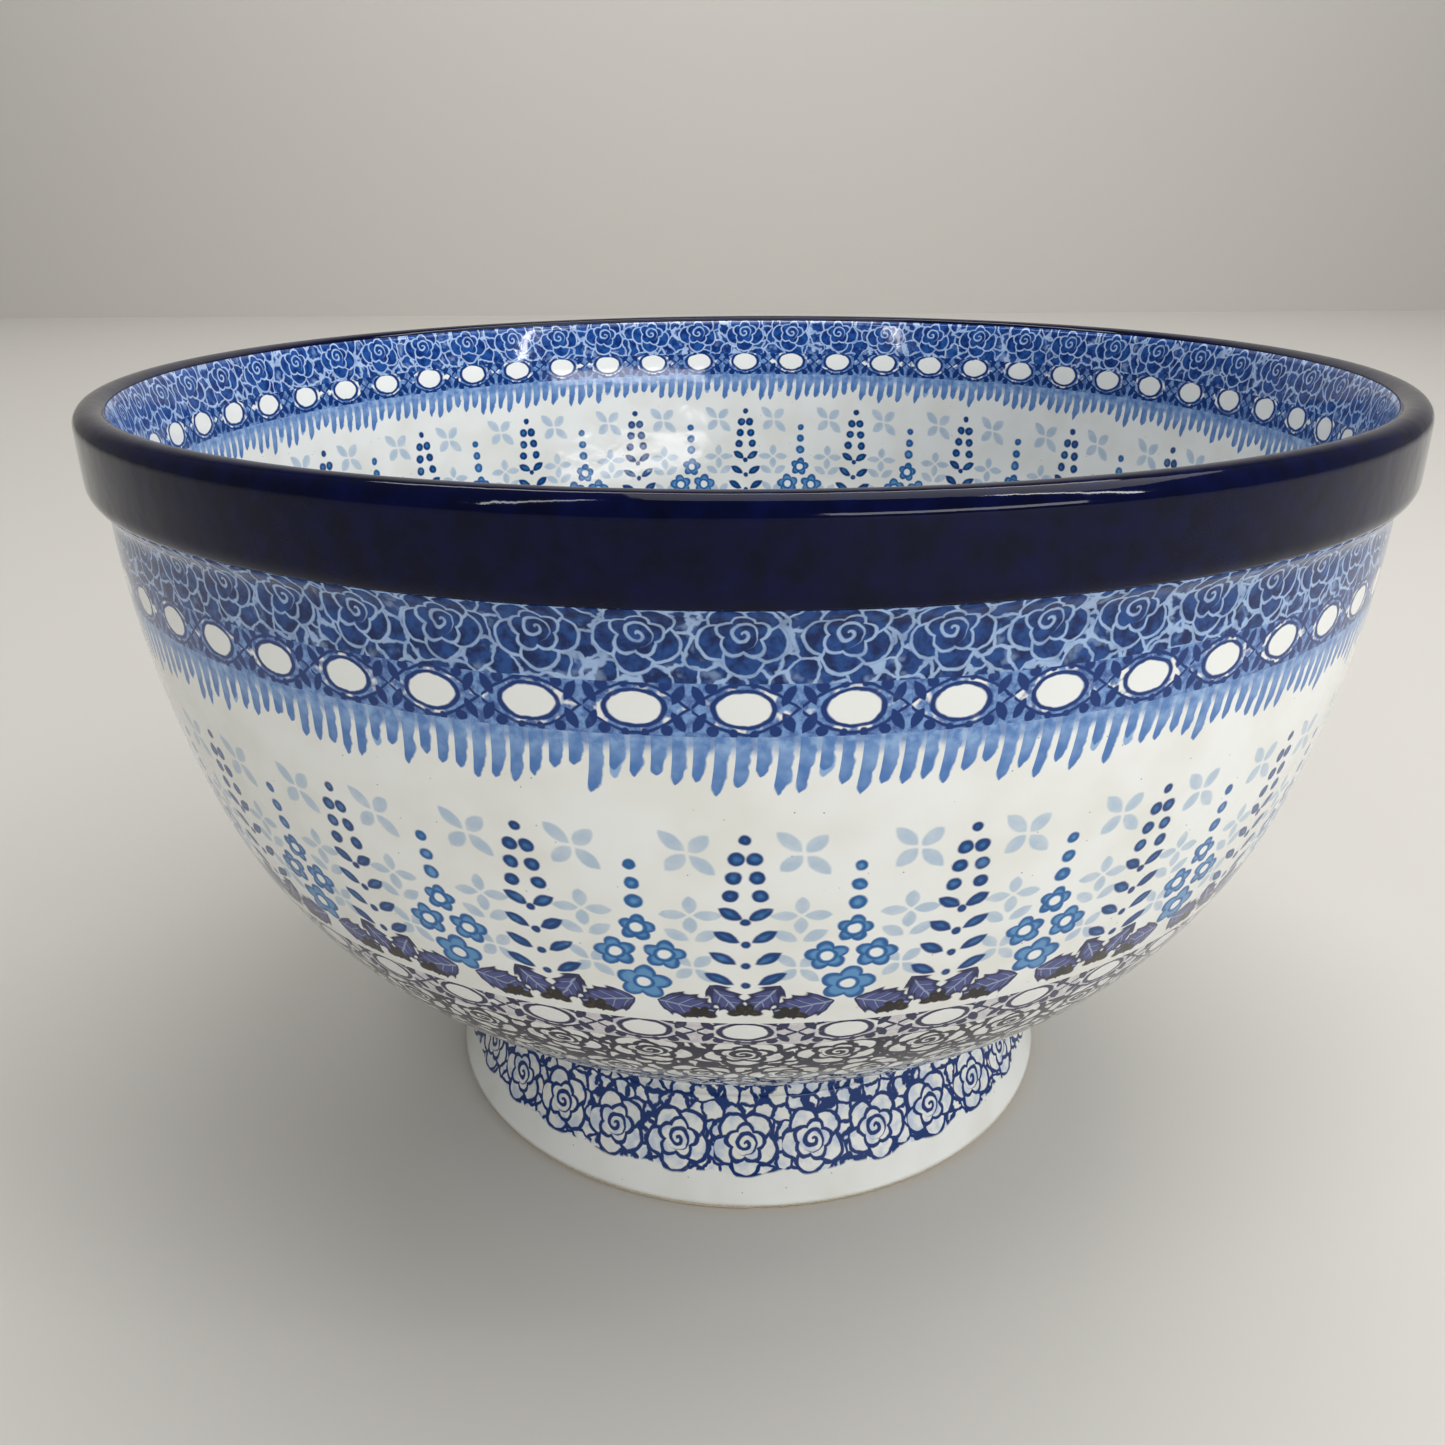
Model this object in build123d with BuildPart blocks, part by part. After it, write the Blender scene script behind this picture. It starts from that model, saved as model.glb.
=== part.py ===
from build123d import *

import os
from math import acos, cos, degrees, radians, sin

# A large footed punch bowl in glazed stoneware: a deep hemispherical bowl with a
# thick rolled rim, luted onto a flared foot ring. Millimetres, +Z up, the origin at
# the centre of the foot's resting plane, and every piece turned about the Z axis.
# In each section the first coordinate is the radius and the second is the height.

# Overall sizes, measured over the fired glaze.
rim_radius = 160.0
bowl_height = 192.0
foot_radius = 84.0

# Thicknesses.
glaze = 0.4
wall_clay = 6.2

# The bowl's outside is a shallow wall arc that runs into a tighter belly arc.
wall_arc = 249.7
wall_widest = 155.7
wall_widest_height = 186.7
belly_arc = 114.1
belly_slope = 70.0
floor_arc = 104.0  # clay inside; smaller than the belly's, so the floor is thicker

# Rolled rim: it sits on the wall's cut edge and stands proud of the wall outside.
rim_seat = 167.0
ledge_height = 170.8
ledge_rise = 3.4
ledge_round = 5.8
face_slope = 86.5
lip_round = 3.7

# Foot: a flared ring, glazed except where it stands.
neck_height = 26.0
neck_radius = 75.2
flare_hollow = 0.6
foot_ring_width = 7.4
neck_inner_radius = 68.0
foot_edge_round = 1.0
coil_rise = 10.0
coil_fillet = 5.0
coil_inner_fillet = 4.0

# Where one glaze stops and the next begins.
cobalt_edge_outside = 173.5
cobalt_edge_inside = 190.4
foot_dry_outside = 1.5
foot_dry_inside = 3.0

wall_centre = Vector(wall_widest - wall_arc, wall_widest_height)
lip_centre = Vector(rim_radius - lip_round, bowl_height - lip_round)
outer_wall = wall_arc - glaze
outer_belly = belly_arc - glaze
inner_wall = outer_wall - wall_clay


def square_to(slope):
    """Outward direction square to a curve that leans this many degrees from level."""
    return Vector(sin(radians(slope)), -cos(radians(slope)))


def along(slope):
    """Upward direction along a curve that leans this many degrees from level."""
    return Vector(cos(radians(slope)), sin(radians(slope)))


def rising_arc(centre, radius, low_slope, high_slope):
    """Arc of the bowl between the places where it leans by these two slopes."""
    return CenterArc(centre, radius, low_slope - 90, high_slope - low_slope)


def slope_at(height, centre, radius):
    """Slope of a rising arc at a height."""
    return degrees(acos((centre.Y - height) / radius))


def lower_centre(wall_radius, lower_radius):
    """Centre of the arc that carries the wall arc on towards the floor, tangent to it."""
    return wall_centre + square_to(belly_slope) * (wall_radius - lower_radius)


belly_centre = lower_centre(outer_wall, outer_belly)
floor_centre = lower_centre(inner_wall, floor_arc)
seat_outside_slope = slope_at(rim_seat, wall_centre, outer_wall)
seat_inside_slope = slope_at(rim_seat, wall_centre, inner_wall)
seat_outside = wall_centre + square_to(seat_outside_slope) * outer_wall
seat_inside = wall_centre + square_to(seat_inside_slope) * inner_wall
underside_height = belly_centre.Y - outer_belly
floor_height = floor_centre.Y - floor_arc

# Bowl: wall, belly and floor, thrown in one, open at the top where the rim is laid on.
with BuildPart() as bowl_body:
    with BuildSketch(Plane.XZ) as bowl_section:
        with BuildLine():
            underside = Line((0, underside_height), (belly_centre.X, underside_height))
            rising_arc(belly_centre, outer_belly, 0, belly_slope)
            rising_arc(wall_centre, outer_wall, belly_slope, seat_outside_slope)
            Line(seat_outside, seat_inside)
            rising_arc(wall_centre, inner_wall, belly_slope, seat_inside_slope)
            rising_arc(floor_centre, floor_arc, 0, belly_slope)
            Line((floor_centre.X, floor_height), (0, floor_height))
            Line((0, floor_height), underside @ 0)
        make_face()
    revolve(axis=Axis.Z)
bowl_body.part.label = "bowl_body"

# Rim: the wall carries on up to a sloping ledge, then a tall face and a full round
# lip. A hollow flare inside leaves the wall and meets the lip tangent to both.
lip_clay = lip_round - glaze
ledge_slope = slope_at(ledge_height, wall_centre, outer_wall)
ledge_foot = wall_centre + square_to(ledge_slope) * outer_wall
face_top = lip_centre + square_to(face_slope) * lip_clay
face_length = (face_top.Y - ledge_height - ledge_rise) / sin(radians(face_slope))
ledge_corner = face_top - along(face_slope) * face_length
seat_to_lip = lip_centre - seat_inside
lean = seat_to_lip.dot(square_to(seat_inside_slope))
flare_arc = (seat_to_lip.dot(seat_to_lip) - lip_clay**2) / (2 * (lean - lip_clay))
flare_centre = seat_inside + square_to(seat_inside_slope) * flare_arc
flare_top = flare_centre + (lip_centre - flare_centre).normalized() * flare_arc
lip_crown = lip_centre + Vector(0, lip_clay)

with BuildPart() as rim_band:
    with BuildSketch(Plane.XZ) as rim_section:
        with BuildLine():
            Line(seat_inside, seat_outside)
            rising_arc(wall_centre, outer_wall, seat_outside_slope, ledge_slope)
            Polyline(ledge_foot, ledge_corner, face_top)
            ThreePointArc(face_top, lip_crown, flare_top)
            TangentArc(seat_inside, flare_top, tangent=along(seat_inside_slope))
        make_face()
        ledge_corners = rim_section.vertices().filter_by_position(
            Axis.Y, ledge_height - 1, ledge_height + ledge_rise + 1
        )
        fillet(ledge_corners, radius=ledge_round)
    revolve(axis=Axis.Z)
rim_band.part.label = "rim_band"

# Foot: a ring with a hollow flare outside and a plain cone inside, flat where it
# stands and flat on top, where the coil of joining clay lies.
foot_outside = Vector(foot_radius - glaze, 0)
foot_inside = Vector(foot_radius - foot_ring_width, 0)
neck_outside = Vector(neck_radius - glaze, neck_height)
neck_inside = Vector(neck_inner_radius + glaze, neck_height)
flare_mid = (foot_outside + neck_outside) * 0.5 - Vector(flare_hollow, 0)

with BuildPart() as foot_pedestal:
    with BuildSketch(Plane.XZ) as foot_section:
        with BuildLine():
            Polyline(neck_outside, neck_inside, foot_inside, foot_outside)
            flare = ThreePointArc(foot_outside, flare_mid, neck_outside)
        make_face()
        foot_edges = foot_section.vertices().filter_by_position(Axis.Y, -1, 1)
        fillet(foot_edges, radius=foot_edge_round)
    revolve(axis=Axis.Z)
foot_pedestal.part.label = "foot_pedestal"

# Joining coil: soft clay between the foot's flat top and the round of the bowl,
# wiped into a fillet on both sides. Its sides carry on the foot's own.
outside_lean = flare % 1
inside_lean = (neck_inside - foot_inside).normalized()
coil_outside = neck_outside + outside_lean * (coil_rise / outside_lean.Y)
coil_inside = neck_inside + inside_lean * (coil_rise / inside_lean.Y)

with BuildPart() as luting_coil:
    with BuildSketch(Plane.XZ) as coil_section:
        with BuildLine():
            Polyline(neck_inside, neck_outside, coil_outside, coil_inside, close=True)
        make_face()
        add(bowl_section.sketch_local)
        joint_corners = coil_section.vertices().filter_by_position(
            Axis.Y, neck_height + 1, neck_height + coil_rise - 1
        )
        joint_corners = joint_corners.filter_by_position(
            Axis.X, neck_inner_radius - 4, neck_radius + 1
        )
        fillet(joint_corners.sort_by(Axis.X)[-1], radius=coil_fillet)
        fillet(joint_corners.sort_by(Axis.X)[0], radius=coil_inner_fillet)
        add(bowl_section.sketch_local, mode=Mode.SUBTRACT)
    revolve(axis=Axis.Z)
luting_coil.part.label = "luting_coil"

# Glaze: one even coat over all the clay, cut where one glaze meets the next. The two
# zone outlines run through the middle of the clay, so that they cut the coat only at
# its own edges.
with BuildSketch() as clay_section:
    for section in (bowl_section, rim_section, foot_section, coil_section):
        add(section.sketch_local)

with BuildSketch() as coat_section:
    add(clay_section.sketch)
    offset(amount=glaze)
    add(clay_section.sketch, mode=Mode.SUBTRACT)

middle_wall = outer_wall - wall_clay / 2
middle_belly = outer_belly - wall_clay / 2
middle_slope = slope_at(rim_seat, wall_centre, middle_wall)
middle_floor = belly_centre.Y - middle_belly
foot_middle = (foot_outside + foot_inside) * 0.5
neck_middle = (neck_outside + neck_inside) * 0.5
far_out = rim_radius + 10

with BuildSketch() as cavity_zone:
    with BuildLine():
        rising_arc(belly_centre, middle_belly, 0, belly_slope)
        middle_run = rising_arc(wall_centre, middle_wall, belly_slope, middle_slope)
        Polyline(
            middle_run @ 1,
            (lip_centre.X, cobalt_edge_inside),
            (0, cobalt_edge_inside),
            (0, middle_floor),
            (belly_centre.X, middle_floor),
        )
    make_face()

with BuildSketch() as recess_zone:
    with BuildLine():
        Polyline(
            (0, middle_floor),
            (belly_centre.X, middle_floor),
            neck_middle + Vector(0, coil_rise),
            neck_middle,
            foot_middle,
            (0, 0),
            close=True,
        )
    make_face()

with BuildSketch() as cobalt_zone:
    with BuildLine():
        Polyline(
            (0, cobalt_edge_inside),
            (lip_centre.X, cobalt_edge_inside),
            (lip_centre.X, cobalt_edge_outside),
            (far_out, cobalt_edge_outside),
            (far_out, bowl_height + 10),
            (0, bowl_height + 10),
            close=True,
        )
    make_face()


def level_band(low, high):
    """Zone between two heights, from the axis out past the rim."""
    return Pos(far_out / 2, (low + high) / 2) * Rectangle(far_out, high - low)


inner_coat = coat_section.sketch & cavity_zone.sketch
cobalt_coat = coat_section.sketch & cobalt_zone.sketch
outside_coat = coat_section.sketch - cavity_zone.sketch - recess_zone.sketch - cobalt_zone.sketch
bowl_coat = outside_coat & level_band(neck_height, bowl_height)
foot_coat = outside_coat & level_band(foot_dry_outside, neck_height)
recess_coat = coat_section.sketch & recess_zone.sketch & level_band(foot_dry_inside, bowl_height)

# Clear glaze over the decorated inside, from the lip down to the floor.
with BuildPart() as inner_glaze:
    with BuildSketch(Plane.XZ):
        add(inner_coat)
    revolve(axis=Axis.Z)
inner_glaze.part.label = "inner_glaze"

# Cobalt glaze over the rolled rim.
with BuildPart() as rim_glaze:
    with BuildSketch(Plane.XZ):
        add(cobalt_coat)
    revolve(axis=Axis.Z)
rim_glaze.part.label = "rim_glaze"

# Clear glaze over the decorated outside, from the rim down into the joint's fillet.
with BuildPart() as outer_glaze:
    with BuildSketch(Plane.XZ):
        add(bowl_coat)
    revolve(axis=Axis.Z)
outer_glaze.part.label = "outer_glaze"

# Clear glaze over the outside of the foot; it stops short of the resting face.
with BuildPart() as foot_glaze:
    with BuildSketch(Plane.XZ):
        add(foot_coat)
    revolve(axis=Axis.Z)
foot_glaze.part.label = "foot_glaze"

# Clear glaze inside the hollow foot and across the underside of the bowl.
with BuildPart() as underside_glaze:
    with BuildSketch(Plane.XZ):
        add(recess_coat)
    revolve(axis=Axis.Z)
underside_glaze.part.label = "underside_glaze"

os.makedirs("parts", exist_ok=True)
export_step(bowl_body.part, "parts/bowl_body.step")
export_step(rim_band.part, "parts/rim_band.step")
export_step(foot_pedestal.part, "parts/foot_pedestal.step")
export_step(luting_coil.part, "parts/luting_coil.step")
export_step(inner_glaze.part, "parts/inner_glaze.step")
export_step(rim_glaze.part, "parts/rim_glaze.step")
export_step(outer_glaze.part, "parts/outer_glaze.step")
export_step(foot_glaze.part, "parts/foot_glaze.step")
export_step(underside_glaze.part, "parts/underside_glaze.step")
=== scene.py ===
import copy
import math

import bmesh
import bpy
import numpy as np
from mathutils import Matrix, Vector


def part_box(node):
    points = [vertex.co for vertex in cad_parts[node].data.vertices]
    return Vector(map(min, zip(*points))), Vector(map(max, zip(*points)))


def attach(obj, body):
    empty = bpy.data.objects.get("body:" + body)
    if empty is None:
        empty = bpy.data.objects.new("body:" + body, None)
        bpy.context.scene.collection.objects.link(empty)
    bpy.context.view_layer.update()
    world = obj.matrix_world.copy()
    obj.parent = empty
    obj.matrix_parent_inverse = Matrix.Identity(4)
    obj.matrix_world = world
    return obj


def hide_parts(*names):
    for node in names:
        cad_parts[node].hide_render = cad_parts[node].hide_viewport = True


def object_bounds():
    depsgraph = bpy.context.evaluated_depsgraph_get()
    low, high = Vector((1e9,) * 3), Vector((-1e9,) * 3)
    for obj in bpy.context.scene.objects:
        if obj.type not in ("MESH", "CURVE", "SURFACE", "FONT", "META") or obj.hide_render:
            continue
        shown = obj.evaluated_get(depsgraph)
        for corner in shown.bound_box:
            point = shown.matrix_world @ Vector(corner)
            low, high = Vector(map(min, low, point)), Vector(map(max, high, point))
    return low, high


MM = 0.001

# ---------------------------------------------------------------- sizes, in millimetres
# The CAD part's box gives the overall sizes; the rest repeats the part's own arcs.
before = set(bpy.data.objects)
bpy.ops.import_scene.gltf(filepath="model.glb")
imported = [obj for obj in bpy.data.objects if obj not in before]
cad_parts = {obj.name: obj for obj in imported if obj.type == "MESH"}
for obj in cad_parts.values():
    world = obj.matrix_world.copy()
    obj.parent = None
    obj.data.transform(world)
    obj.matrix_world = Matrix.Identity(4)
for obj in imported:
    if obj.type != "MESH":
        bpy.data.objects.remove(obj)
cad_low, cad_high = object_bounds()
RIM_RADIUS = round(cad_high.x / MM, 1)
BOWL_HEIGHT = round(cad_high.z / MM, 1)
NECK_HEIGHT = round(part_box("foot_pedestal")[1][2] / MM, 1)

GLAZE = 0.4
SKIN = 0.36
WALL = 6.6 + GLAZE
WALL_ARC = 249.7
WALL_CENTRE = np.array([-94.0, 186.7])
BELLY_ARC = 114.1
BELLY_SLOPE = 70.0
FLOOR_ARC = 103.6
LEDGE = (170.8, 174.2)
FACE_SLOPE = 86.5
LIP_ROUND = 3.7
NECK_RADII = (75.2, 68.0)
FOOT_RADII = (84.0, 76.2)
FLARE_HOLLOW = 0.6
FOOT_EDGE = 1.0
LEDGE_EASE = 2.4
NECK_EASE_OUT = 4.2
NECK_EASE_IN = 3.6
RIM_SEAT_HEIGHT = 167.0
COBALT_EDGE_OUTSIDE = 174.0
COBALT_EDGE_INSIDE = 190.4
FOOT_DRY_OUTSIDE = 1.5
FOOT_DRY_INSIDE = 3.0
SEGMENTS = 256
MESH_STEP = 1.6
LIP_STEP = 0.5
FOOT_STEP = 0.8
STEADY_RADIUS = 40.0
WELD_REACH = 0.001
POINT_STEP = 0.6


# ---------------------------------------------------------------- the vessel's outline
def square_to(slope):
    """Outward direction square to a curve that leans this many degrees from level."""
    angle = math.radians(slope)
    return np.array([math.sin(angle), -math.cos(angle)])


def rising_arc(centre, radius, low_slope, high_slope):
    """Points of an arc of the bowl between two slopes, lowest first."""
    count = max(2, int(abs(math.radians(high_slope - low_slope)) * radius / POINT_STEP) + 1)
    return [centre + square_to(s) * radius for s in np.linspace(low_slope, high_slope, count)]


def slope_at(height, centre, radius):
    """Slope of a rising arc at a height."""
    return math.degrees(math.acos((centre[1] - height) / radius))


def straight(start, end):
    """Evenly spaced points of a straight run."""
    start, end = np.array(start, float), np.array(end, float)
    count = max(2, int(np.linalg.norm(end - start) / POINT_STEP) + 1)
    return [start + (end - start) * t for t in np.linspace(0, 1, count)]


def rounded(run_in, run_out, reach):
    """Joins two runs that meet at a corner, easing the corner within this reach of it."""
    corner = run_in[-1]
    kept_in = [p for p in run_in if np.linalg.norm(p - corner) > reach]
    kept_out = [p for p in run_out if np.linalg.norm(p - corner) > reach]
    start, end = kept_in[-1], kept_out[0]
    ease = [start * (1 - t) ** 2 + corner * 2 * t * (1 - t) + end * t * t
            for t in np.linspace(0, 1, 9)[1:-1]]
    return kept_in + ease + kept_out


def vessel_outline():
    """Radius and height of the glazed surface, from the middle of the floor inside, up
    over the lip, down the outside and the foot, and back to the middle underneath."""
    inner_wall = WALL_ARC - WALL
    belly_centre = WALL_CENTRE + square_to(BELLY_SLOPE) * (WALL_ARC - BELLY_ARC)
    floor_centre = WALL_CENTRE + square_to(BELLY_SLOPE) * (inner_wall - FLOOR_ARC)
    lip_centre = np.array([RIM_RADIUS - LIP_ROUND, BOWL_HEIGHT - LIP_ROUND])

    seat_slope = slope_at(RIM_SEAT_HEIGHT, WALL_CENTRE, inner_wall)
    seat = WALL_CENTRE + square_to(seat_slope) * inner_wall
    across = lip_centre - seat
    lean = across @ square_to(seat_slope)
    flare_arc = (across @ across - LIP_ROUND ** 2) / (2 * (lean - LIP_ROUND))
    flare_centre = seat + square_to(seat_slope) * flare_arc
    to_lip = (lip_centre - flare_centre) / np.linalg.norm(lip_centre - flare_centre)
    flare_end = math.degrees(math.atan2(to_lip[1], to_lip[0]))
    seat_angle = 90 + seat_slope

    floor = straight((0, floor_centre[1] - FLOOR_ARC), floor_centre - [0, FLOOR_ARC])
    bowl_in = rising_arc(floor_centre, FLOOR_ARC, 0, BELLY_SLOPE)
    wall_in = rising_arc(WALL_CENTRE, inner_wall, BELLY_SLOPE, seat_slope)
    turns = np.radians(np.linspace(seat_angle, flare_end, 40))
    flare = [flare_centre + flare_arc * np.array([math.cos(t), math.sin(t)]) for t in turns]
    turns = np.radians(np.linspace(flare_end, FACE_SLOPE - 90, 40))
    lip = [lip_centre + LIP_ROUND * np.array([math.cos(t), math.sin(t)]) for t in turns]

    ledge_slope = slope_at(LEDGE[0], WALL_CENTRE, WALL_ARC)
    ledge_foot = WALL_CENTRE + square_to(ledge_slope) * WALL_ARC
    drop = (lip[-1][1] - LEDGE[1]) / math.tan(math.radians(FACE_SLOPE))
    ledge_corner = np.array([lip[-1][0] - drop, LEDGE[1]])
    face = straight(lip[-1], ledge_corner)
    ledge = straight(ledge_corner, ledge_foot)
    wall_out = rising_arc(WALL_CENTRE, WALL_ARC, BELLY_SLOPE, ledge_slope)[::-1]

    neck_out = np.array([NECK_RADII[0], NECK_HEIGHT])
    neck_in = np.array([NECK_RADII[1], NECK_HEIGHT])
    foot_out = np.array([FOOT_RADII[0], 0.0])
    foot_in = np.array([FOOT_RADII[1], 0.0])
    bow = [4 * t * (1 - t) * FLARE_HOLLOW for t in np.linspace(0, 1, 41)]
    flare_out = [neck_out + (foot_out - neck_out) * t - [b, 0]
                 for t, b in zip(np.linspace(0, 1, 41), bow)]
    lead = (flare_out[0] - flare_out[1]) / np.linalg.norm(flare_out[0] - flare_out[1])
    cone = straight(foot_in, neck_in)
    cone_lead = (neck_in - foot_in) / np.linalg.norm(neck_in - foot_in)
    joint_out = meet_belly(neck_out, lead, belly_centre)
    joint_in = meet_belly(neck_in, cone_lead, belly_centre)
    belly_stop = math.degrees(math.asin((joint_out[0] - belly_centre[0]) / BELLY_ARC))
    belly_start = math.degrees(math.asin((joint_in[0] - belly_centre[0]) / BELLY_ARC))
    belly = rising_arc(belly_centre, BELLY_ARC, belly_stop, BELLY_SLOPE)[::-1]
    under = rising_arc(belly_centre, BELLY_ARC, 0, belly_start)[::-1]
    middle = straight(under[-1], (0, belly_centre[1] - BELLY_ARC))

    up = floor[:-1] + bowl_in[:-1] + wall_in[:-1] + flare[:-1] + lip[:-1] + face
    down = rounded(rounded(up, ledge, LEDGE_EASE), wall_out, LEDGE_EASE)[:-1] + belly
    foot = rounded(down, straight(joint_out, neck_out)[:-1] + flare_out, NECK_EASE_OUT)
    foot = rounded(foot, straight(foot_out, foot_in), FOOT_EDGE)
    foot = rounded(foot, cone[:-1] + straight(neck_in, joint_in), FOOT_EDGE)
    return np.array(rounded(foot, under[:-1] + middle, NECK_EASE_IN))


def meet_belly(start, lead, centre):
    """Where a line that climbs from a point of the neck meets the belly's arc."""
    reach = start - centre
    b = reach @ lead
    return start + lead * (-b - math.sqrt(b * b - reach @ reach + BELLY_ARC ** 2))


OUTLINE = vessel_outline()
STEPS = np.linalg.norm(np.diff(OUTLINE, axis=0), axis=1)
ALONG = np.concatenate([[0], np.cumsum(STEPS)])
CROWN = int(np.argmax(OUTLINE[:, 1]))
FOOT_LOW = int(np.argmax(np.where(OUTLINE[:, 1] < 1e-6, OUTLINE[:, 0], 0)))


def along_at(height, part):
    """Distance along the outline, in mm from the floor's middle, of a height on one of its
    four parts: inside, outside, hollow (inside the foot)."""
    rows = {"inside": slice(0, CROWN + 1), "outside": slice(CROWN, FOOT_LOW + 1),
            "hollow": slice(FOOT_LOW, len(OUTLINE))}[part]
    heights, along = OUTLINE[rows, 1], ALONG[rows]
    order = np.argsort(heights, kind="stable")
    return float(np.interp(height, heights[order], along[order]))


def outline_at(along):
    """Radius and height of the outline at a distance along it."""
    return np.stack([np.interp(along, ALONG, OUTLINE[:, k]) for k in (0, 1)], axis=-1)


# ---------------------------------------------------------------- meshes
def skin(name, node_name, bands, mesh_step=MESH_STEP):
    """A closed, hand-thrown skin of glaze over a stretch of the outline, turned about Z, with
    a material for each band of it. Its UV map holds the turn about Z and the distance along
    the outline."""
    along, slots = [bands[0][0]], []
    for slot, (start, end, _) in enumerate(bands):
        count = int((end - start) / mesh_step) + 1
        along += list(np.linspace(start, end, count + 1)[1:])
        slots += [slot] * count
    along = np.array(along)
    front = outline_at(along)
    ahead = outline_at(along + 0.05) - outline_at(along - 0.05)
    ahead /= np.linalg.norm(ahead, axis=1)[:, None]
    inward = np.stack([ahead[:, 1], -ahead[:, 0]], axis=1)
    ring = np.concatenate([front, (front + inward * SKIN)[::-1]])
    ring_along = np.concatenate([along, along[::-1]])
    ring_slots = np.array(slots + slots[-1:] + slots[::-1] + slots[:1])

    turn = np.arange(SEGMENTS + 1) / SEGMENTS
    angle = (turn[:-1] - 0.5) * 2 * math.pi
    radius = np.maximum(ring[:, 0], 0)[:, None]
    uneven = wobble(angle[None, :], ring_along[:, None])
    radius = radius + np.minimum(radius / STEADY_RADIUS, 1) * uneven
    xyz = np.stack([radius * np.sin(angle), -radius * np.cos(angle),
                    np.broadcast_to(ring[:, 1][:, None], radius.shape)], axis=-1)
    i, j = np.meshgrid(np.arange(len(ring)), np.arange(SEGMENTS), indexing="ij")
    after_i, after_j = (i + 1) % len(ring), (j + 1) % SEGMENTS
    quads = np.stack([i * SEGMENTS + j, after_i * SEGMENTS + j,
                      after_i * SEGMENTS + after_j, i * SEGMENTS + after_j], axis=-1)
    turns = np.stack([turn[j], turn[j], turn[j + 1], turn[j + 1]], axis=-1)
    heights = np.stack([ring_along[k] for k in (i, after_i, after_i, i)], axis=-1)

    mesh = bpy.data.meshes.new(name)
    mesh.vertices.add(radius.size)
    mesh.vertices.foreach_set("co", (xyz * MM).ravel())
    mesh.loops.add(quads.size)
    mesh.loops.foreach_set("vertex_index", quads.ravel())
    mesh.polygons.add(quads.size // 4)
    mesh.polygons.foreach_set("loop_start", np.arange(0, quads.size, 4))
    mesh.polygons.foreach_set("material_index", np.repeat(ring_slots, SEGMENTS))
    mesh.polygons.foreach_set("use_smooth", np.ones(quads.size // 4, bool))
    uv = mesh.uv_layers.new(name="Turned")
    uv.data.foreach_set("uv", np.stack([turns, heights], axis=-1).ravel())
    mesh.update(calc_edges=True)
    weld(mesh)
    for _, _, material in bands:
        mesh.materials.append(material)
    piece = bpy.data.objects.new(name, mesh)
    bpy.context.collection.objects.link(piece)
    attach(piece, "root")
    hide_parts(node_name)
    return piece


def weld(mesh):
    """Makes one point of those that coincide where a skin meets the axis."""
    sheet = bmesh.new()
    sheet.from_mesh(mesh)
    bmesh.ops.remove_doubles(sheet, verts=sheet.verts, dist=WELD_REACH * MM)
    sheet.to_mesh(mesh)
    sheet.free()


def wobble(angle, along):
    """Small unevenness of the thrown wall, in mm: at most 0.2 inwards and never outwards."""
    return (0.05 * np.sin(2 * angle + 0.4 + along * 0.004)
            + 0.03 * np.sin(3 * angle + 1.9 - along * 0.006)
            + 0.02 * np.sin(7 * angle + along * 0.03) - 0.1)


# ---------------------------------------------------------------- painting with nodes
class Field:
    """A value or a place that varies over the surface: one socket of the tree in hand."""
    tree = None

    def __init__(self, socket):
        self.socket = socket

    def __add__(self, other):
        return maths("ADD", self, other)

    def __sub__(self, other):
        return maths("SUBTRACT", self, other)

    def __rsub__(self, other):
        return maths("SUBTRACT", other, self)

    def __mul__(self, other):
        return maths("MULTIPLY", self, other)

    def __truediv__(self, other):
        return maths("DIVIDE", self, other)

    __radd__ = __add__
    __rmul__ = __mul__


def node(kind, inputs, **settings):
    """Adds a node, and feeds its inputs, by name or number, with fields or constants."""
    made = Field.tree.nodes.new(kind)
    for key, value in settings.items():
        setattr(made, key, value)
    for key, value in inputs.items():
        if isinstance(value, Field):
            Field.tree.links.new(value.socket, made.inputs[key])
        else:
            made.inputs[key].default_value = value
    return made


def maths(operation, *values):
    return Field(node("ShaderNodeMath", dict(enumerate(values)), operation=operation).outputs[0])


def lowest(*values):
    """The least of several fields."""
    least = values[0]
    for value in values[1:]:
        least = maths("MINIMUM", least, value)
    return least


def highest(*values):
    most = values[0]
    for value in values[1:]:
        most = maths("MAXIMUM", most, value)
    return most


def scaled(value, factor, offset=0.0):
    return maths("MULTIPLY_ADD", value, factor, offset)


def size_of(value):
    return maths("ABSOLUTE", value)


def step(value, start, end):
    """Eases from 0 where the value is at start to 1 where it is at end."""
    return Field(node("ShaderNodeMapRange", {0: value, 1: start, 2: end},
                      interpolation_type="SMOOTHSTEP").outputs[0])


def spot(x, y):
    return Field(node("ShaderNodeCombineXYZ", {0: x, 1: y}).outputs[0])


def parts(place):
    made = node("ShaderNodeSeparateXYZ", {0: place})
    return Field(made.outputs[0]), Field(made.outputs[1])


def seen_from(place, x, y, turn=0.0, wide=1.0, tall=1.0):
    """The place measured from (x, y), turned by degrees and in units of these two sizes."""
    return Field(node("ShaderNodeMapping", {0: place, 1: (x, y, 0), 2: (0, 0, math.radians(turn)),
                                            3: (wide, tall, 1)}, vector_type="TEXTURE").outputs[0])


def length(place):
    return Field(node("ShaderNodeVectorMath", {0: place}, operation="LENGTH").outputs[1])


def reach(place, x, y):
    """Distance from (x, y)."""
    made = node("ShaderNodeVectorMath", {0: place, 1: (x, y, 0)}, operation="DISTANCE")
    return Field(made.outputs[1])


def dot(place, x, y, radius):
    return reach(place, x, y) - radius


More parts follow.
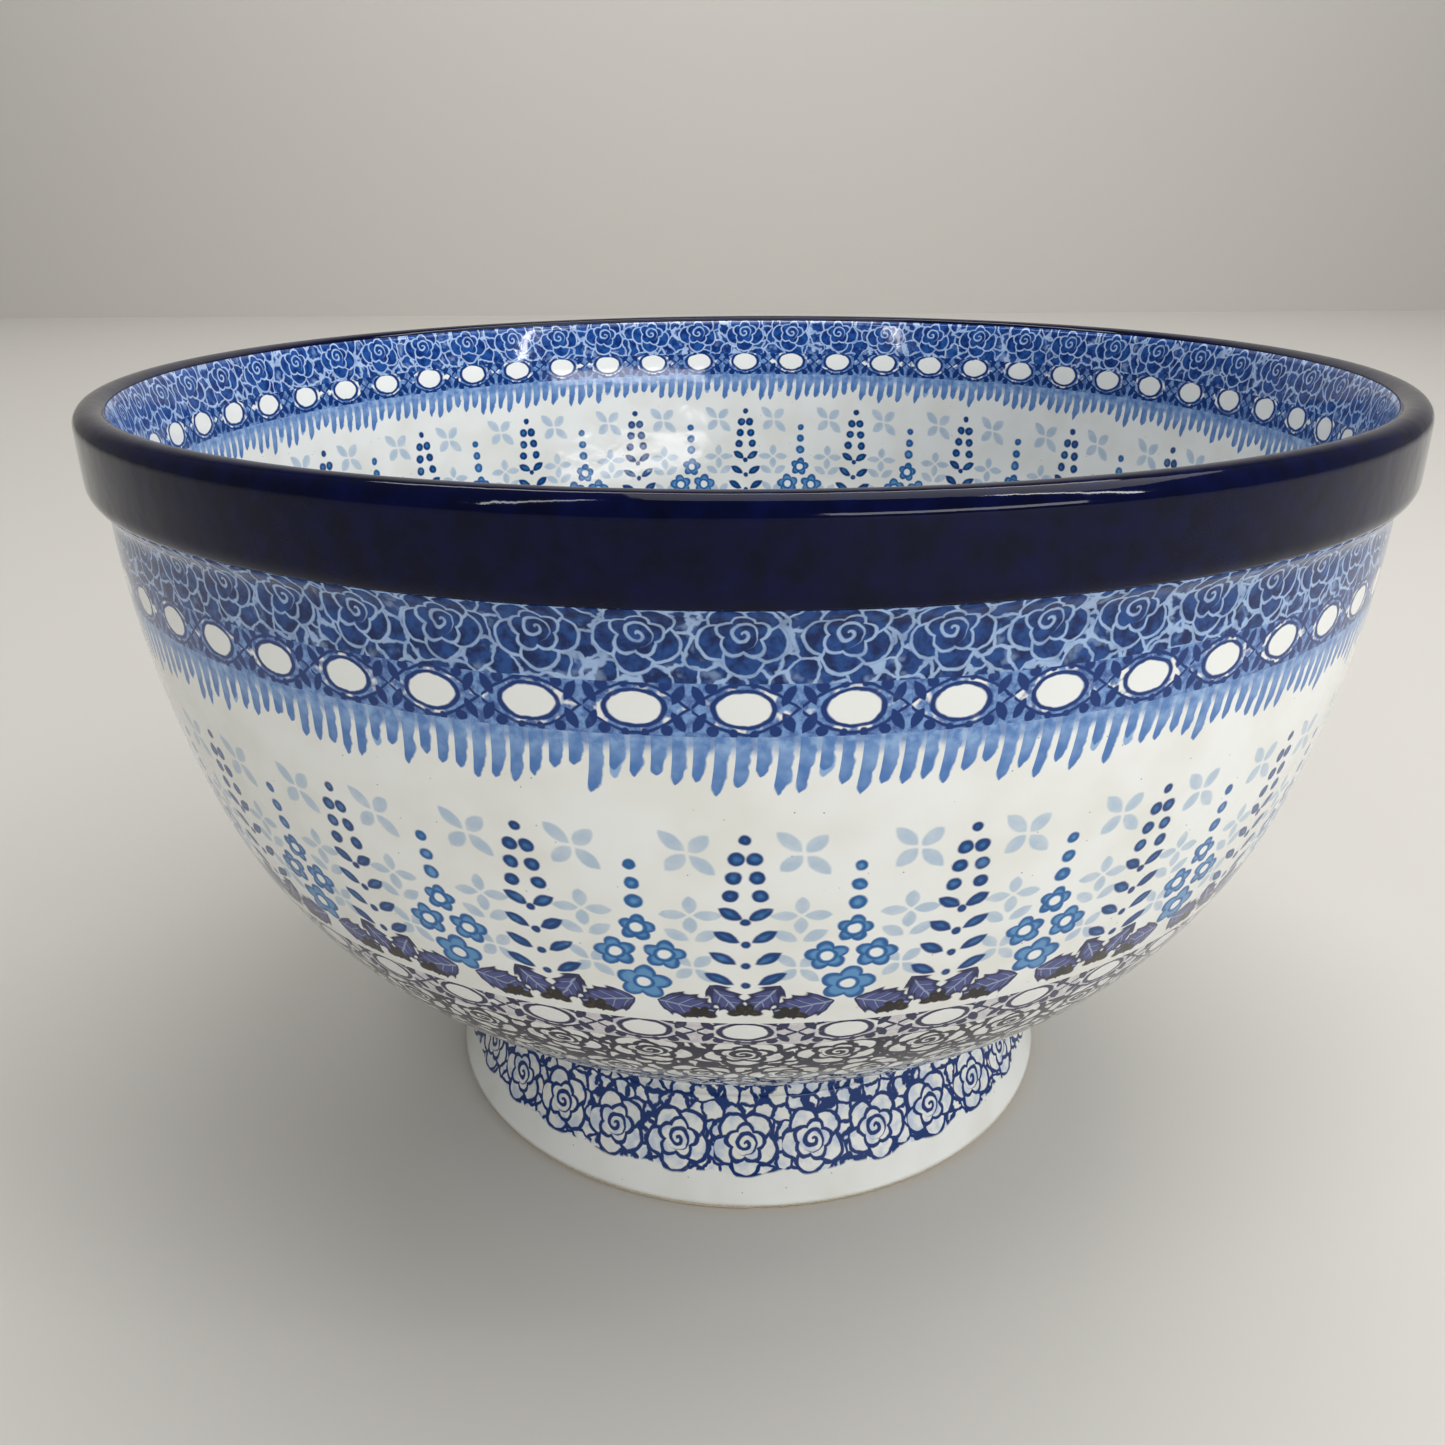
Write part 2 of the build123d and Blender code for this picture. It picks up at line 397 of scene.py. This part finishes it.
def oval(place, x, y, wide, tall, turn=0.0):
    """Distance, negative inside, from an oval with these half sizes."""
    slim = min(wide, tall)
    return scaled(length(seen_from(place, x, y, turn, wide, tall)), slim, -slim)


def leaf(place, x, y, wide, tall, turn=0.0):
    """Distance, negative inside, from a leaf with two pointed ends: two arcs that cross."""
    local = seen_from(place, x, y, turn)
    arc = (wide * wide + tall * tall) / (2 * wide)
    return highest(reach(local, arc - wide, 0), reach(local, wide - arc, 0)) - arc


def folded(place):
    """The place mirrored onto the quarter where x and y are positive, for shapes in fours."""
    return Field(node("ShaderNodeVectorMath", {0: place}, operation="ABSOLUTE").outputs[0])


def half_folded(place):
    """The place mirrored onto the side where x is positive, for shapes in pairs."""
    x, y = parts(place)
    return spot(size_of(x), y)


def noise(place, size, detail=2.0, rough=0.5):
    made = node("ShaderNodeTexNoise", {"Vector": place, "Scale": 1 / size, "Detail": detail,
                                       "Roughness": rough})
    return Field(made.outputs["Fac"]), Field(made.outputs["Color"])


def srgb(code):
    """The linear colour that this hex code shows."""
    values = [int(code[i:i + 2], 16) / 255 for i in (0, 2, 4)]
    return (*(v / 12.92 if v < 0.04 else ((v + 0.055) / 1.055) ** 2.4 for v in values), 1.0)


def paint(under, ink, amount):
    """Lays ink over a colour, as thick as the amount from 0 to 1."""
    return Field(node("ShaderNodeMix", {0: amount, 6: under, 7: ink}, data_type="RGBA").outputs[2])


class Wall:
    """Where a point lies on one side of the bowl, in millimetres: the turn about the axis,
    the distance down from a height on that side, the distance from the axis, the place."""

    def __init__(self, height, part):
        made = node("ShaderNodeTexCoord", {})
        scale = node("ShaderNodeVectorMath", {0: Field(made.outputs["Object"])}, operation="SCALE")
        scale.inputs[3].default_value = 1000
        self.place = Field(scale.outputs[0])
        flat = node("ShaderNodeVectorMath", {0: self.place, 1: (1, 1, 0)}, operation="MULTIPLY")
        self.radius = length(Field(flat.outputs[0]))
        turn, along = parts(Field(node("ShaderNodeUVMap", {}, uv_map="Turned").outputs[0]))
        top = along_at(height, part)
        if part == "inside":
            self.turn, self.down = scaled(turn, -1, 1), scaled(along, -1, top)
        else:
            self.turn, self.down = turn - 0.5, along - top
        self.fac, self.sway = noise(self.place, 3.2, 2)
        bent = node("ShaderNodeVectorMath", {0: self.sway, 1: (3.0, 3.0, 3.0), 2: self.place},
                    operation="MULTIPLY_ADD")
        self.bent = Field(bent.outputs[0])

    def changed(self, **fields):
        """The same point with some of its fields replaced."""
        other = copy.copy(self)
        vars(other).update(fields)
        return other

    def stamps(self, count, phase, height=0.0, sway=0.7):
        """Repeats a stamp round the bowl. Gives the place measured from the nearest stamp's
        middle, this far down, with the hand's sway, and a number of luck for each stamp."""
        share = scaled(self.turn, count, -phase * count / 360)
        number = maths("ROUND", share)
        across = (share - number) * (self.radius * (2 * math.pi / count))
        luck = node("ShaderNodeTexWhiteNoise", {"W": maths("FLOORED_MODULO", number, count)},
                    noise_dimensions="1D")
        here = spot(across, self.down - height)
        swayed = node("ShaderNodeVectorMath", {0: self.sway, 1: (sway, sway, 0), 2: here},
                      operation="MULTIPLY_ADD")
        return Field(swayed.outputs[0]), Field(luck.outputs[0])


# ---------------------------------------------------------------- stamped motifs
# The bands' order, heights and colours, their kinds of subject, and the look of the rosettes and
# brush strokes follow the photo. The stalks, posies, crosses, seeds and leaves are redrawn as
# plain mirrored shapes, and no row is turned to line up with the photo.
def blossom_lines(place, luck, size=1.0):
    """Distance to the lines of a blossom, a curl inside two scalloped rings of petals, and
    distance outside the blossom."""
    x, y = parts(place)
    away = length(place)
    angle = scaled(luck, 0.5) + maths("ARCTAN2", y, x)
    curl = maths("FRACT", scaled(away, 1 / (1.75 * size), 0.1) - scaled(angle, 1 / (2 * math.pi)))
    heart = highest(scaled(size_of(curl - 0.5), 1.75 * size), away - 2.2 * size)
    swing = scaled(angle, 2.5)
    petals = away - scaled(size_of(maths("COSINE", swing)), 1.15 * size, 3.1 * size)
    outer = away - scaled(size_of(maths("SINE", swing)), 1.6 * size, 5.5 * size)
    split = highest(size_of(maths("COSINE", swing + away * 0.3)) * away * 0.4, 0 - petals, outer)
    return lowest(heart, size_of(petals), size_of(outer), split), outer


def net_lines(place, size):
    """Distance, in cells, to the lines of an uneven net."""
    made = node("ShaderNodeTexVoronoi", {"Vector": place, "Scale": 1 / size, "Randomness": 0.85},
                feature="DISTANCE_TO_EDGE")
    return Field(made.outputs["Distance"])


def wash(wall, deep, light, size=2.4):
    """Sponged ink, uneven as a stamp leaves it."""
    fac = noise(wall.place, size, 3, 0.6)[0]
    return paint(deep, light, step(fac, 0.34, 0.66))


def blossom_band(wall, count, middle, deep, light, line):
    """Close-set blossoms in pale lines on a sponged ground, with a net between them."""
    place, luck = wall.stamps(count, 0.0, middle, 1.2)
    lines, outside = blossom_lines(place, luck)
    net = highest(scaled(net_lines(wall.bent, 4.4), 4.4), 0.5 - outside)
    ink = step(lowest(lines, net), 0.42, 0.14) * scaled(wall.fac, 1.2, 0.3)
    haze = step(outside, 0.2, 1.6) * step(wall.fac, 0.52, 0.72) * 0.45
    ground = paint(wash(wall, deep, light), line, haze)
    return paint(ground, line, ink)


def chain_band(wall, count, middle, deep, light, line, white, thick=0.45):
    """White seeds between two stems that cross, with leaves and berries at each crossing."""
    place, _ = wall.stamps(count, 0.0, middle, 0.9)
    quarter = folded(place)
    x, y = parts(place)
    swing = maths("DIVIDE", x * (count / 2), wall.radius)
    outside = size_of(y) - scaled(maths("COSINE", swing), 4.4)
    seed = oval(place, 0, 0, 4.3, 2.9)
    berry = lowest(dot(quarter, 5.0, 3.9, 0.9), dot(quarter, 1.6, 4.3, 0.6))
    leaves = leaf(quarter, 7.0, 2.4, 0.8, 1.9, -28)
    lines = lowest(size_of(seed - 0.35), size_of(outside), leaves + 0.2, berry + 0.2)
    patches = highest(step(noise(wall.place, 2.6, 2)[0], 0.36, 0.5), step(outside, -0.4, 0.4))
    ground = paint(white, wash(wall, deep, light, 1.5), patches * 0.95)
    ground = paint(ground, white, step(seed, 0.2, -0.2))
    return paint(ground, line, step(lines, thick + 0.15, thick - 0.15) * scaled(wall.fac, 0.6, 0.75))


def fringe(wall, under, count, longest, deep, light):
    """Brush strokes hanging from the band above, running together at the top and curling
    away at the tips, a few in each stamp longer than the rest."""
    colour = under
    for number, shift, share, ink in ((3, 1.3, 0.75, light), (3, 0.0, 1.0, deep)):
        bend = (wall.down * wall.down) * (0.009 / (2 * math.pi)) / wall.radius
        strokes = wall.changed(turn=wall.turn + bend)
        place, luck = strokes.stamps(count * number, shift, 0.0, 1.5)
        x, y = parts(place)
        tip = scaled(luck, 0.45 * longest * share, 0.62 * longest * share)
        fall = maths("MAXIMUM", y / tip, 0.0)
        round_end = maths("SQRT", maths("MAXIMUM", scaled(maths("POWER", fall, 5.0), -1.0, 1.0), 0.0))
        edge = size_of(x) - scaled(round_end, 2.1, -0.7)
        tone = paint(ink, light, step(fall + wall.fac * 1.3, 1.6, 0.6) * 0.9)
        colour = paint(colour, tone, step(edge + wall.fac * 0.5, 0.5, 0.05))
    top = step(wall.down + wall.fac * 3, 5.6, 2.8)
    return paint(colour, paint(deep, light, step(noise(wall.place, 2.2, 3)[0], 0.35, 0.7)), top * 0.85)


def cross(place, x, y, turn=0.0, size=1.0):
    """Distance to a blossom of four pointed petals."""
    local = folded(seen_from(place, x, y, turn, size, size))
    return lowest(leaf(local, 0, 2.4, 1.15, 1.9), leaf(local, 3.0, 0, 1.05, 2.3, 90))


def paired_leaves(place, top, gap, pairs):
    """Distance to pairs of leaves down a stalk, each pair a little wider than the last."""
    local = half_folded(place)
    return lowest(*(leaf(local, 2.6 + 0.7 * k, top + gap * k, 1.15, 2.3 + 0.2 * k, 58)
                    for k in range(pairs)))


def stalk(place):
    """Distance to an upright stalk: one berry, pairs of berries, then pairs of leaves."""
    local = half_folded(place)
    berries = lowest(dot(place, 0, 0, 0.95), *(dot(local, 1.0 + 0.5 * k, 4.1 * k, 1.35)
                                               for k in range(1, 4)))
    middle = lowest(*(dot(place, 0, 18.5 + 5.6 * k, 0.8) for k in range(4)))
    return lowest(berries, middle, paired_leaves(place, 16.6, 5.6, 4))


def daisy(place, x, y, wide, tall, heart):
    """Distances to a five-petalled flower and to its white heart."""
    local = seen_from(place, x, y, 0, wide / 5, tall / 5)
    across, down = parts(local)
    away = length(local)
    lobes = size_of(maths("COSINE", scaled(maths("ARCTAN2", down, across), 2.5, 0.4)))
    away = scaled(away, wide / 5)
    return away - scaled(lobes, wide * 0.32, wide * 0.72), away - heart


def posy(place):
    """Distances to a symmetrical posy of open flowers, and to their white hearts."""
    top, top_heart = daisy(place, 0, 14.8, 3.2, 3.2, 1.1)
    sides, side_hearts = daisy(half_folded(place), 4.4, 21.4, 3.8, 3.7, 1.2)
    low, low_heart = daisy(place, 0, 29.4, 4.9, 4.7, 1.35)
    buds = lowest(*(dot(place, 0, 4.2 * k, 1.1 + 0.2 * k) for k in range(3)))
    return lowest(buds, top, sides, low), lowest(top_heart, side_hearts, low_heart)


def stamped(wall, under, distance, edge, heart, strength):
    """Lays a stamped shape: the ink pools along its edge and thins out unevenly inside."""
    colour = paint(edge, heart, step(distance + wall.fac * 1.6, 0.4, -0.6))
    return paint(under, colour, step(distance, 0.34, -0.16) * strength)


def garden(wall, under, count, colours):
    """The white field: stalks and posies by turns, with pale crosses and leaves between."""
    strength = scaled(wall.fac, 0.4, 0.85)
    cell = 360 / count
    place, _ = wall.stamps(count * 2, cell / 4, 0.0, 0.6)
    pale = lowest(cross(place, 0, 3.0, 45, 1.2), cross(place, 0, 17.0), cross(place, 0, 30.5, 45),
                  paired_leaves(place, 22.0, 3.4, 1))
    colour = stamped(wall, under, pale, colours["pale"], colours["wing"], scaled(wall.fac, 1.0, 0.4))
    place, _ = wall.stamps(count, cell / 2, 0.0, 0.7)
    flowers, hearts = posy(seen_from(place, 0, 6.0))
    colour = stamped(wall, colour, flowers, colours["teal"], colours["teal_light"], strength)
    ring = step(size_of(hearts - 0.5), 0.5, 0.1) * step(flowers, 0.0, -0.3)
    colour = paint(colour, colours["teal"], ring)
    colour = paint(colour, colours["white"], step(hearts, 0.15, -0.15))
    place, _ = wall.stamps(count, 0.0, 0.0, 0.7)
    return stamped(wall, colour, stalk(place), colours["blue"], colours["blue_light"], strength)


def toothed_leaf(place, x, y, wide, tall, turn):
    """Distances to a toothed leaf and to its ribs: one along it and others that slant off."""
    local = half_folded(seen_from(place, x, y, turn))
    across, along = parts(local)
    teeth = size_of(maths("SINE", (across * 0.8 - along) * 1.25)) * 0.9
    ribs = size_of(maths("SINE", (across * 0.9 - along) * 1.25 + 0.9)) * 0.75 + 0.1
    arc = (wide * wide + tall * tall) / (2 * wide)
    return reach(local, wide - arc, 0) - arc + teeth, lowest(across, ribs)


def dark_flower(place, x, y):
    """Distance to a small flower of four petals round a heart."""
    local = half_folded(seen_from(place, x, y, 0, 0.85, 0.85))
    return lowest(oval(local, 1.9, 0.2, 1.8, 1.15, 18), oval(local, 0.9, -1.6, 1.0, 1.5, 22),
                  dot(local, 0, 0.4, 0.9))


def leaf_row(wall, under, count, colours):
    """A row of toothed leaves in mirrored pairs, with a small dark flower over each joint."""
    place, _ = wall.stamps(count, 0.0, 0.0, 0.9)
    local = half_folded(place)
    colour = under
    for where in ((3.4, -2.6, 3.4, 5.6, 34), (10.6, -0.2, 4.4, 6.4, 74)):
        distance, ribs = toothed_leaf(local, *where)
        colour = stamped(wall, colour, distance, colours["leaf"], colours["leaf_light"], 1.0)
        vein = step(ribs, 0.3, 0.1) * step(distance, -0.3, -1.2)
        colour = paint(colour, colours["pale"], vein * 0.55)
    dark = lowest(dark_flower(place, 0, 1.6), dark_flower(local, 8.2, 2.6))
    return stamped(wall, colour, dark, colours["brown"], colours["olive"], 1.0)


# ---------------------------------------------------------------- materials
WHITE = srgb("e9ebe8")
CREAM = srgb("e1e2db")
NAVY = srgb("0a3070")
DUSK = srgb("20244c")
GARDEN = {"white": WHITE, "blue": srgb("083a75"), "blue_light": srgb("3070a8"),
          "teal": srgb("225d98"), "teal_light": srgb("5a90c0"), "pale": srgb("b0c2d2"),
          "wing": srgb("a9bcd2"), "leaf": srgb("22264f"), "leaf_light": srgb("474d84"),
          "brown": srgb("17110c"), "olive": srgb("4c3d1e")}


def off_white(wall):
    """The clay seen through clear glaze: faint clouds and a few iron specks."""
    clouds = paint(WHITE, CREAM, step(noise(wall.place, 16, 2)[0], 0.35, 0.75))
    specks = node("ShaderNodeTexVoronoi", {"Vector": wall.place, "Scale": 0.3})
    return paint(clouds, srgb("8d8a84"), step(Field(specks.outputs["Distance"]), 0.06, 0.03))


def roses(count, middle, deep, light, line):
    return lambda wall: blossom_band(wall, count, middle, srgb(deep), srgb(light), srgb(line))


def chain(count, middle, deep, light, line, thick=0.45):
    return lambda wall: chain_band(wall, count, middle, srgb(deep), srgb(light), line, WHITE, thick)


def strokes(count, longest):
    return lambda wall: fringe(wall, off_white(wall), count, longest, srgb("4a75b2"), srgb("8cacd4"))


def flowers(count):
    return lambda wall: garden(wall, off_white(wall), count, GARDEN)


def flowers_and_leaves(count, drop):
    """The foot of the white field, with a row of leaves this far down it."""
    def painter(wall):
        return leaf_row(wall.changed(down=wall.down - drop), flowers(count)(wall), count, GARDEN)
    return painter


def dark_lines(count, middle, spacing, ink, under):
    """Rows of blossoms in dark lines on the pale ground, each row shifted by half a stamp."""
    def painter(wall):
        row = maths("ROUND", scaled(wall.down, 1 / spacing, -middle / spacing))
        rows = wall.changed(turn=wall.turn + scaled(row, 0.5 / count),
                            down=wall.down - scaled(row, spacing))
        place, luck = rows.stamps(count, 0.0, middle, 1.3)
        squeeze = maths("DIVIDE", count * 14.0 / (2 * math.pi), wall.radius)
        x, y = parts(place)
        lines, outside = blossom_lines(spot(x * squeeze, y), luck, 0.95)
        net = highest(scaled(net_lines(wall.bent, 3.8), 3.8), 0.5 - outside)
        amount = step(lowest(lines, net), 0.74, 0.4) * scaled(wall.fac, 0.6, 0.8)
        ground = paint(off_white(wall), srgb(under), step(wall.fac, 0.45, 0.7) * 0.4)
        return paint(ground, srgb(ink), amount)
    return painter


def foot_blossoms(wall):
    """One row of navy blossoms on white, with the bottom of the foot left plain."""
    place, luck = wall.stamps(30, 0.0, 12.2, 1.3)
    lines, outside = blossom_lines(place, luck, 1.12)
    net = highest(scaled(net_lines(wall.bent, 3.8), 4.4), 0.6 - outside)
    low = step(wall.down + outside * 0.5, 20.0, 19.0)
    amount = step(lowest(lines, net), 0.66, 0.34) * scaled(wall.fac, 0.6, 0.8) * low
    ground = paint(off_white(wall), srgb("9fb6d8"), step(wall.fac, 0.4, 0.7) * 0.6 * low)
    return paint(ground, srgb("06306e"), amount)


def cobalt(wall):
    return paint(srgb("02051f"), srgb("040a34"), step(noise(wall.place, 5, 3)[0], 0.3, 0.8))


def glazed(name, painter, height, part, gloss=0.07, mirror=0.32):
    """A gloss glaze over a painter's colours, with slight ripples and uneven gloss."""
    material = bpy.data.materials.new(name)
    material.use_nodes = True
    Field.tree = material.node_tree
    shader = material.node_tree.nodes["Principled BSDF"]
    wall = Wall(height, part)
    Field.tree.links.new(painter(wall).socket, shader.inputs["Base Color"])
    uneven = noise(wall.place, 9, 2)[0]
    Field.tree.links.new(scaled(uneven, 0.08, gloss - 0.03).socket, shader.inputs["Roughness"])
    ripple = uneven + noise(wall.place, 1.1, 1)[0] * 0.05
    bump = node("ShaderNodeBump", {"Strength": 0.35, "Distance": 0.0004, "Height": ripple})
    Field.tree.links.new(bump.outputs[0], shader.inputs["Normal"])
    shader.inputs["IOR"].default_value = 1.5
    shader.inputs["Specular IOR Level"].default_value = mirror
    return material


def bands(part, edges, painters):
    """Bands between heights, from the highest down, each with its own glazed material. The
    painter's own heights count down from the first number beside it."""
    made = []
    for high, low, (name, top, painter) in zip(edges, edges[1:], painters):
        material = glazed(name, painter, top, part)
        ends = sorted((along_at(high, part), along_at(low, part)))
        made.append((*ends, material))
    return sorted(made, key=lambda band: band[0])


skin("painted_inside", "inner_glaze", bands("inside", (
    COBALT_EDGE_INSIDE, 178.6, 171.0, 159.0, 124.0, 112.0, 106.0, 62.5, 54.0, 35.52), (
    ("roses_inside", 190.4, roses(54, 5.0, "06286a", "1f5098", "a8c0e2")),
    ("chain_inside", 178.6, chain(54, 3.4, "1f4d92", "6c96cc", NAVY, 0.32)),
    ("strokes_inside", 171.0, strokes(90, 10.5)),
    ("flowers_inside", 157.0, flowers(22)),
    ("leaves_inside", 157.0, flowers_and_leaves(22, 40.0)),
    ("low_chain_inside", 112.0, chain(44, 3.4, "a8b8d0", "c4cfdd", DUSK, 0.4)),
    ("low_roses_inside", 106.0, dark_lines(44, 6.0, 14.0, "1d2a54", "c0c9d4")),
    ("floor_strokes", 62.5, strokes(60, 11.0)),
    ("floor_white", 54.0, off_white),
)))
skin("painted_outside", "outer_glaze", bands("outside", (
    COBALT_EDGE_OUTSIDE, 161.0, 151.7, 138.5, 101.0, 87.0, 79.5, 35.8, 34.6, NECK_HEIGHT), (
    # The outer roses use darker tones than the inner roses: the real cobalt pattern with painted shade
    # laid into its colours.
    ("roses_outside", 174.0, roses(60, 6.4, "041d52", "1a4788", "9db7da")),
    ("chain_outside", 161.0, chain(56, 4.9, "1f4d92", "6c96cc", NAVY, 0.32)),
    ("strokes_outside", 151.7, strokes(95, 11.8)),
    ("flowers_outside", 131.8, flowers(24)),
    ("leaves_outside", 131.8, flowers_and_leaves(24, 42.3)),
    # The outer low chain is tinted warm grey, unlike the bluish inner copy: the real pattern with a
    # painted reflection of brown wood.
    ("low_chain_outside_painted_reflection", 87.0, chain(44, 3.9, "c2bfc8", "d8d5d2", DUSK, 0.4)),
    # The outer low roses have a warm grey ground and near-black lines, unlike the inner copy: the real
    # pattern with a painted reflection of brown wood and painted shade.
    ("low_roses_outside_painted_shade_and_reflection", 79.5, dark_lines(44, 6.0, 14.0, "191b34", "bdb6b4")),
    ("seam_outside", 35.8, off_white),
    ("neck_outside", NECK_HEIGHT, foot_blossoms),
)))
skin("painted_foot", "foot_glaze", bands("outside", (NECK_HEIGHT, FOOT_DRY_OUTSIDE), (
    ("blossoms_foot", NECK_HEIGHT, foot_blossoms),)), FOOT_STEP)
skin("plain_hollow", "underside_glaze", [
    (along_at(FOOT_DRY_INSIDE, "hollow"), float(ALONG[-1]),
     glazed("plain_white", off_white, 20, "hollow"))], FOOT_STEP)
skin("rolled_rim", "rim_glaze", [
    (along_at(COBALT_EDGE_INSIDE, "inside"), along_at(COBALT_EDGE_OUTSIDE, "outside"),
     glazed("cobalt", cobalt, 186, "outside", 0.05, 0.16))], LIP_STEP)

clay = bpy.data.materials.new("bare_clay")
clay.use_nodes = True
Field.tree = clay.node_tree
grain = noise(Wall(20, "hollow").place, 0.7, 4, 0.7)[0]
shader = clay.node_tree.nodes["Principled BSDF"]
Field.tree.links.new(paint(srgb("cfc5b2"), srgb("b3a68f"), step(grain, 0.3, 0.7)).socket,
                     shader.inputs["Base Color"])
Field.tree.links.new(scaled(grain, 0.2, 0.7).socket, shader.inputs["Roughness"])
bump = node("ShaderNodeBump", {"Strength": 0.6, "Distance": 0.0003, "Height": grain})
Field.tree.links.new(bump.outputs[0], shader.inputs["Normal"])
for node_name in ("bowl_body", "rim_band", "foot_pedestal", "luting_coil"):
    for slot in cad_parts[node_name].material_slots:
        slot.material = clay

# ---------------------------------------------------------------- stage, light and camera
bpy.ops.mesh.primitive_plane_add(size=8)
floor = bpy.context.object
floor.name = "floor"
ground = bpy.data.materials.new("floor")
ground.use_nodes = True
ground.node_tree.nodes["Principled BSDF"].inputs["Base Color"].default_value = srgb("cfccc6")
ground.node_tree.nodes["Principled BSDF"].inputs["Roughness"].default_value = 0.6
floor.data.materials.append(ground)
bpy.ops.mesh.primitive_plane_add(size=8, location=(0, 2.6, 3.6), rotation=(math.radians(90), 0, 0))
backdrop = bpy.context.object
backdrop.name = "backdrop"
backdrop.data.materials.append(ground)

WORLD_LIGHT = 0.19
world = bpy.data.worlds.new("studio")
world.use_nodes = True
world.node_tree.nodes["Background"].inputs[0].default_value = (1.0, 0.99, 0.97, 1)
world.node_tree.nodes["Background"].inputs[1].default_value = WORLD_LIGHT
bpy.context.scene.world = world


def lamp(name, place, aim, wide, tall, power):
    """A soft rectangular lamp at a place, facing another."""
    light = bpy.data.lights.new(name, "AREA")
    light.shape = "RECTANGLE"
    light.size, light.size_y, light.energy = wide, tall, power
    made = bpy.data.objects.new(name, light)
    made.location = place
    made.rotation_euler = (Vector(aim) - Vector(place)).to_track_quat("-Z", "Y").to_euler()
    bpy.context.collection.objects.link(made)


lamp("overhead", (0.45, 0.0, 1.6), (0, 0, 0), 1.0, 1.6, 14)
lamp("strip_left", (-0.75, -0.9, 1.25), (0, 0, 0.1), 0.06, 1.2, 5)
lamp("strip_right", (1.0, -0.6, 1.1), (0, 0, 0.1), 0.06, 1.0, 7)
lamp("front_fill", (1.0, -1.7, 0.45), (0, 0, 0.03), 1.4, 0.3, 14)
lamp("backdrop_wash", (0, 1.2, 2.6), (0, 2.6, 0.6), 3.0, 0.5, 45)

CAMERA_AT = (0.0, -0.3419, 0.2319)
LENS, LENS_SHIFT = 32.33, -0.111
PITCH, YAW, ROLL = (math.radians(a) for a in (15.32, -1.11, -0.40))
forward = Vector((math.sin(YAW) * math.cos(PITCH), math.cos(YAW) * math.cos(PITCH), -math.sin(PITCH)))
level = Vector((math.cos(YAW), -math.sin(YAW), 0))
upward = level.cross(forward)
axes = Matrix((level * math.cos(ROLL) + upward * math.sin(ROLL),
               upward * math.cos(ROLL) - level * math.sin(ROLL), -forward)).transposed()
camera = bpy.data.objects.new("camera", bpy.data.cameras.new("camera"))
camera.matrix_world = Matrix.Translation(CAMERA_AT) @ axes.to_4x4()
camera.data.lens = LENS
camera.data.shift_y = LENS_SHIFT
bpy.context.collection.objects.link(camera)
bpy.context.scene.camera = camera
bpy.context.scene.view_settings.view_transform = "Standard"
